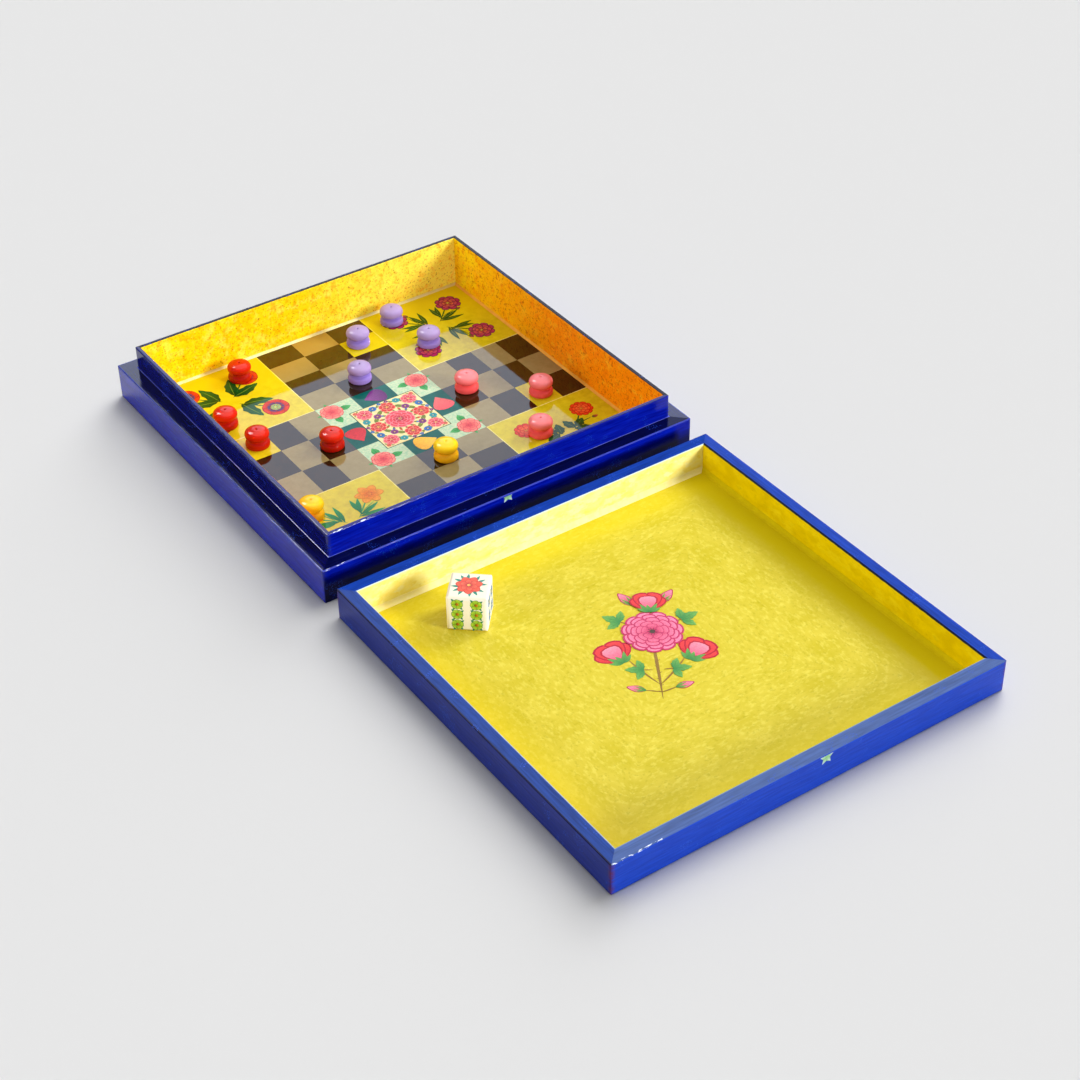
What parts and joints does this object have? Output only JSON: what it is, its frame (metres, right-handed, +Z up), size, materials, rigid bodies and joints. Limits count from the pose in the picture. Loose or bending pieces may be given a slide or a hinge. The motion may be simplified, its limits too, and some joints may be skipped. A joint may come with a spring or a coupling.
{
  "type": "ludo board",
  "caption": "Square lacquered wooden game box: cross-shaped race board sunk in the base, a raised rim that locates the lift-off lid, turned tokens and a die.",
  "frame": {"origin": "middle of the base's underside, on the surface that the set stands on", "axes": "+Z up, +X to the right, +Y away from the lid, which lies in front of the base towards -Y"},
  "size_m": [0.254, 0.5222, 0.0375],
  "materials": {
    "blue_lacquer": "high-gloss blue lacquer, gold paint on the lid's inner faces",
    "rim_lacquer": "high-gloss blue lacquer outside, varnished gold leaf inside",
    "board_paint": "painted playing field under clear gloss varnish",
    "gold_paint": "brushed gold paint, satin, with a painted spray; blue lacquer outside",
    "ivory_paint": "satin ivory paint with painted pips",
    "red_lacquer": "gloss lacquer",
    "purple_lacquer": "gloss lacquer",
    "pink_lacquer": "gloss lacquer",
    "yellow_lacquer": "gloss lacquer"
  },
  "bodies": {
    "base": {"base_floor_panel": "blue_lacquer", "playing_board": "board_paint", "base_wall_front": "blue_lacquer", "base_wall_right": "blue_lacquer", "base_wall_back": "blue_lacquer", "base_wall_left": "blue_lacquer", "rim_liner_front": "rim_lacquer", "rim_liner_right": "rim_lacquer", "rim_liner_back": "rim_lacquer", "rim_liner_left": "rim_lacquer"},
    "lid": {"lid_top_panel": "gold_paint", "lid_wall_front": "blue_lacquer", "lid_wall_right": "blue_lacquer", "lid_wall_back": "blue_lacquer", "lid_wall_left": "blue_lacquer"},
    "die": {"die": "ivory_paint"},
    "token_red_1": {"token_red_1": "red_lacquer"},
    "token_red_2": {"token_red_2": "red_lacquer"},
    "token_red_3": {"token_red_3": "red_lacquer"},
    "token_red_4": {"token_red_4": "red_lacquer"},
    "token_purple_1": {"token_purple_1": "purple_lacquer"},
    "token_purple_2": {"token_purple_2": "purple_lacquer"},
    "token_purple_3": {"token_purple_3": "purple_lacquer"},
    "token_purple_4": {"token_purple_4": "purple_lacquer"},
    "token_pink_1": {"token_pink_1": "pink_lacquer"},
    "token_pink_2": {"token_pink_2": "pink_lacquer"},
    "token_pink_3": {"token_pink_3": "pink_lacquer"},
    "token_pink_4": {"token_pink_4": "pink_lacquer"},
    "token_yellow_1": {"token_yellow_1": "yellow_lacquer"},
    "token_yellow_2": {"token_yellow_2": "yellow_lacquer"},
    "token_yellow_3": {"token_yellow_3": "yellow_lacquer"},
    "token_yellow_4": {"token_yellow_4": "yellow_lacquer"}
  },
  "joints": [
    {"name": "lid_turn", "type": "hinge", "parent": "base", "child": "lid", "pos_m": [0, -0.1341, 0.0213], "axis": [1, 0, 0], "range_deg": [-180, 0]},
    {"name": "die_lift", "type": "slide", "parent": "lid", "child": "die", "axis": [0, 0, 1], "range_m": [0, 0.03]},
    {"name": "token_red_1_lift", "type": "slide", "parent": "base", "child": "token_red_1", "axis": [0, 0, 1], "range_m": [0, 0.045]},
    {"name": "token_red_2_lift", "type": "slide", "parent": "base", "child": "token_red_2", "axis": [0, 0, 1], "range_m": [0, 0.045]},
    {"name": "token_red_3_lift", "type": "slide", "parent": "base", "child": "token_red_3", "axis": [0, 0, 1], "range_m": [0, 0.045]},
    {"name": "token_red_4_lift", "type": "slide", "parent": "base", "child": "token_red_4", "axis": [0, 0, 1], "range_m": [0, 0.045]},
    {"name": "token_purple_1_lift", "type": "slide", "parent": "base", "child": "token_purple_1", "axis": [0, 0, 1], "range_m": [0, 0.045]},
    {"name": "token_purple_2_lift", "type": "slide", "parent": "base", "child": "token_purple_2", "axis": [0, 0, 1], "range_m": [0, 0.045]},
    {"name": "token_purple_3_lift", "type": "slide", "parent": "base", "child": "token_purple_3", "axis": [0, 0, 1], "range_m": [0, 0.045]},
    {"name": "token_purple_4_lift", "type": "slide", "parent": "base", "child": "token_purple_4", "axis": [0, 0, 1], "range_m": [0, 0.045]},
    {"name": "token_pink_1_lift", "type": "slide", "parent": "base", "child": "token_pink_1", "axis": [0, 0, 1], "range_m": [0, 0.045]},
    {"name": "token_pink_2_lift", "type": "slide", "parent": "base", "child": "token_pink_2", "axis": [0, 0, 1], "range_m": [0, 0.045]},
    {"name": "token_pink_3_lift", "type": "slide", "parent": "base", "child": "token_pink_3", "axis": [0, 0, 1], "range_m": [0, 0.045]},
    {"name": "token_pink_4_lift", "type": "slide", "parent": "base", "child": "token_pink_4", "axis": [0, 0, 1], "range_m": [0, 0.045]},
    {"name": "token_yellow_1_lift", "type": "slide", "parent": "base", "child": "token_yellow_1", "axis": [0, 0, 1], "range_m": [0, 0.045]},
    {"name": "token_yellow_2_lift", "type": "slide", "parent": "base", "child": "token_yellow_2", "axis": [0, 0, 1], "range_m": [0, 0.045]},
    {"name": "token_yellow_3_lift", "type": "slide", "parent": "base", "child": "token_yellow_3", "axis": [0, 0, 1], "range_m": [0, 0.045]},
    {"name": "token_yellow_4_lift", "type": "slide", "parent": "base", "child": "token_yellow_4", "axis": [0, 0, 1], "range_m": [0, 0.045]}
  ]
}
